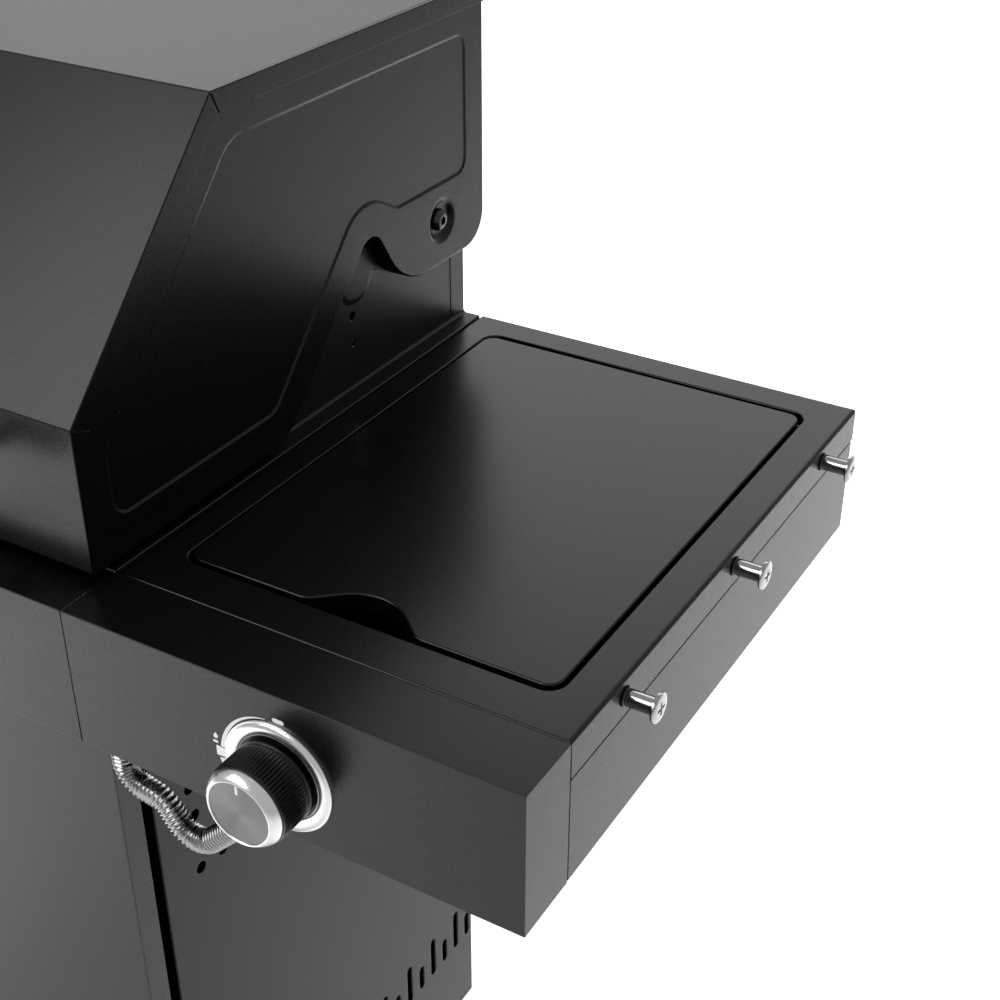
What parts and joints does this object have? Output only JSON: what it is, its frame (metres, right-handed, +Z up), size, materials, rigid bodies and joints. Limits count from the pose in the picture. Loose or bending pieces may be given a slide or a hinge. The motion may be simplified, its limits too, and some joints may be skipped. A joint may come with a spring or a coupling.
{
  "type": "gas barbecue grill",
  "caption": "Cabinet gas barbecue grill with hinged hood, side shelves, flush side burner under a lid, push-and-turn knobs, doors and casters",
  "frame": {"origin": "on the floor, under the middle of the whole grill's box", "axes": "+X to the right seen from the front, +Y to the back, +Z up"},
  "size_m": [1.348, 0.526, 1.153],
  "materials": {
    "black_coat": "satin fine-textured black powder coat",
    "firebox_coat": "matt heat-resistant black",
    "knob_black": "satin black plastic with a ribbed grip",
    "chrome": "polished chrome",
    "stainless": "brushed stainless steel",
    "hose_steel": "bright corrugated stainless steel",
    "zinc": "zinc plated steel",
    "cast_iron": "matt enamelled cast iron",
    "burner_metal": "cast burner alloy",
    "brass": "machined brass",
    "rubber": "matt grey-black rubber tread",
    "pedal_red": "satin red plastic",
    "needle_red": "satin red",
    "tray_steel": "aluminised steel"
  },
  "bodies": {
    "cart": {"base_shelf": "black_coat", "side_panel_left": "black_coat", "side_panel_right": "black_coat", "back_panel": "black_coat", "front_frame": "black_coat", "caster_plates": "zinc", "firebox_body": "firebox_coat", "firebox_side_left": "firebox_coat", "firebox_side_right": "firebox_coat", "control_panel": "black_coat", "side_shelf_left": "black_coat", "side_shelf_right": "black_coat", "shelf_side_rails": "black_coat", "side_fascia_left": "black_coat", "side_fascia_right": "black_coat", "tool_hooks": "chrome", "knob_bezels": "chrome", "gas_manifold": "zinc", "main_valves": "brass", "side_burner_valve": "brass", "gas_hose": "hose_steel", "side_burner_bowl": "firebox_coat", "side_burner_head": "burner_metal", "side_burner_grate": "cast_iron", "main_burners": "stainless", "flame_tamers": "stainless", "warming_rack": "stainless", "hinge_bolts": "black_coat"},
    "hood": {"hood_skin": "black_coat", "hood_end_left": "black_coat", "hood_end_right": "black_coat", "hood_handle": "stainless", "thermometer": "chrome"},
    "needle": {"thermometer_needle": "needle_red"},
    "side_lid": {"side_burner_lid": "black_coat"},
    "grate_left": {"cooking_grate_left": "cast_iron"},
    "grate_right": {"cooking_grate_right": "cast_iron"},
    "grease_tray": {"grease_tray": "tray_steel"},
    "door_left": {"door_left": "black_coat", "door_handle_left": "stainless"},
    "door_right": {"door_right": "black_coat", "door_handle_right": "stainless"},
    "fork_fl": {"caster_fork_fl": "zinc"},
    "wheel_fl": {"caster_wheel_fl": "rubber"},
    "fork_fr": {"caster_fork_fr": "zinc"},
    "wheel_fr": {"caster_wheel_fr": "rubber"},
    "fork_rl": {"caster_fork_rl": "zinc"},
    "wheel_rl": {"caster_wheel_rl": "rubber"},
    "fork_rr": {"caster_fork_rr": "zinc"},
    "wheel_rr": {"caster_wheel_rr": "rubber"},
    "pedal_left": {"brake_pedal_left": "pedal_red"},
    "pedal_right": {"brake_pedal_right": "pedal_red"},
    "stem_1": {"valve_stem_1": "zinc"},
    "knob_1": {"knob_1": "knob_black"},
    "stem_2": {"valve_stem_2": "zinc"},
    "knob_2": {"knob_2": "knob_black"},
    "stem_3": {"valve_stem_3": "zinc"},
    "knob_3": {"knob_3": "knob_black"},
    "stem_side": {"valve_stem_side": "zinc"},
    "knob_side": {"knob_side": "knob_black"}
  },
  "joints": [
    {"name": "hood_hinge", "type": "hinge", "parent": "cart", "child": "hood", "pos_m": [0, 0.2003, 0.9882], "axis": [-1, 0, 0], "range_deg": [0, 88]},
    {"name": "needle_turn", "type": "hinge", "parent": "hood", "child": "needle", "pos_m": [0, -0.1225, 1.0745], "axis": [0, -0.73, 0.6835], "range_deg": [-270, 0], "stiffness_Nm_per_rad": 0.003},
    {"name": "side_lid_hinge", "type": "hinge", "parent": "cart", "child": "side_lid", "pos_m": [0.4915, 0.2136, 0.8845], "axis": [-1, 0, 0], "range_deg": [0, 95]},
    {"name": "grate_left_lift", "type": "slide", "parent": "cart", "child": "grate_left", "axis": [0, 0, 1], "range_m": [0, 0.06]},
    {"name": "grate_right_lift", "type": "slide", "parent": "cart", "child": "grate_right", "axis": [0, 0, 1], "range_m": [0, 0.06]},
    {"name": "grease_tray_slide", "type": "slide", "parent": "cart", "child": "grease_tray", "axis": [0, 1, 0], "range_m": [0, 0.3]},
    {"name": "door_left_hinge", "type": "hinge", "parent": "cart", "child": "door_left", "pos_m": [-0.311, -0.176, 0.44], "axis": [0, 0, -1], "range_deg": [0, 95]},
    {"name": "door_right_hinge", "type": "hinge", "parent": "cart", "child": "door_right", "pos_m": [0.311, -0.176, 0.44], "axis": [0, 0, 1], "range_deg": [0, 95]},
    {"name": "caster_swivel_fl", "type": "hinge", "parent": "cart", "child": "fork_fl", "pos_m": [-0.28, -0.121, 0.09], "axis": [0, 0, 1], "continuous": true},
    {"name": "caster_roll_fl", "type": "hinge", "parent": "fork_fl", "child": "wheel_fl", "pos_m": [-0.28, -0.099, 0.0375], "axis": [1, 0, 0], "continuous": true},
    {"name": "caster_swivel_fr", "type": "hinge", "parent": "cart", "child": "fork_fr", "pos_m": [0.28, -0.121, 0.09], "axis": [0, 0, 1], "continuous": true},
    {"name": "caster_roll_fr", "type": "hinge", "parent": "fork_fr", "child": "wheel_fr", "pos_m": [0.28, -0.099, 0.0375], "axis": [1, 0, 0], "continuous": true},
    {"name": "caster_swivel_rl", "type": "hinge", "parent": "cart", "child": "fork_rl", "pos_m": [-0.28, 0.189, 0.09], "axis": [0, 0, 1], "continuous": true},
    {"name": "caster_roll_rl", "type": "hinge", "parent": "fork_rl", "child": "wheel_rl", "pos_m": [-0.28, 0.211, 0.0375], "axis": [1, 0, 0], "continuous": true},
    {"name": "caster_swivel_rr", "type": "hinge", "parent": "cart", "child": "fork_rr", "pos_m": [0.28, 0.189, 0.09], "axis": [0, 0, 1], "continuous": true},
    {"name": "caster_roll_rr", "type": "hinge", "parent": "fork_rr", "child": "wheel_rr", "pos_m": [0.28, 0.211, 0.0375], "axis": [1, 0, 0], "continuous": true},
    {"name": "brake_left", "type": "hinge", "parent": "fork_fl", "child": "pedal_left", "pos_m": [-0.28, -0.073, 0.082], "axis": [-1, 0, 0], "range_deg": [0, 12]},
    {"name": "brake_right", "type": "hinge", "parent": "fork_fr", "child": "pedal_right", "pos_m": [0.28, -0.073, 0.082], "axis": [-1, 0, 0], "range_deg": [0, 12]},
    {"name": "knob_turn_1", "type": "hinge", "parent": "cart", "child": "stem_1", "pos_m": [-0.19, -0.226, 0.8325], "axis": [0, -1, 0], "range_deg": [0, 170]},
    {"name": "knob_push_1", "type": "slide", "parent": "stem_1", "child": "knob_1", "axis": [0, 1, 0], "range_m": [0, 0.004], "stiffness_N_per_m": 900},
    {"name": "knob_turn_2", "type": "hinge", "parent": "cart", "child": "stem_2", "pos_m": [0, -0.226, 0.8325], "axis": [0, -1, 0], "range_deg": [0, 170]},
    {"name": "knob_push_2", "type": "slide", "parent": "stem_2", "child": "knob_2", "axis": [0, 1, 0], "range_m": [0, 0.004], "stiffness_N_per_m": 900},
    {"name": "knob_turn_3", "type": "hinge", "parent": "cart", "child": "stem_3", "pos_m": [0.19, -0.226, 0.8325], "axis": [0, -1, 0], "range_deg": [0, 170]},
    {"name": "knob_push_3", "type": "slide", "parent": "stem_3", "child": "knob_3", "axis": [0, 1, 0], "range_m": [0, 0.004], "stiffness_N_per_m": 900},
    {"name": "knob_turn_side", "type": "hinge", "parent": "cart", "child": "stem_side", "pos_m": [0.4915, -0.226, 0.8325], "axis": [0, -1, 0], "range_deg": [0, 170]},
    {"name": "knob_push_side", "type": "slide", "parent": "stem_side", "child": "knob_side", "axis": [0, 1, 0], "range_m": [0, 0.004], "stiffness_N_per_m": 900}
  ]
}
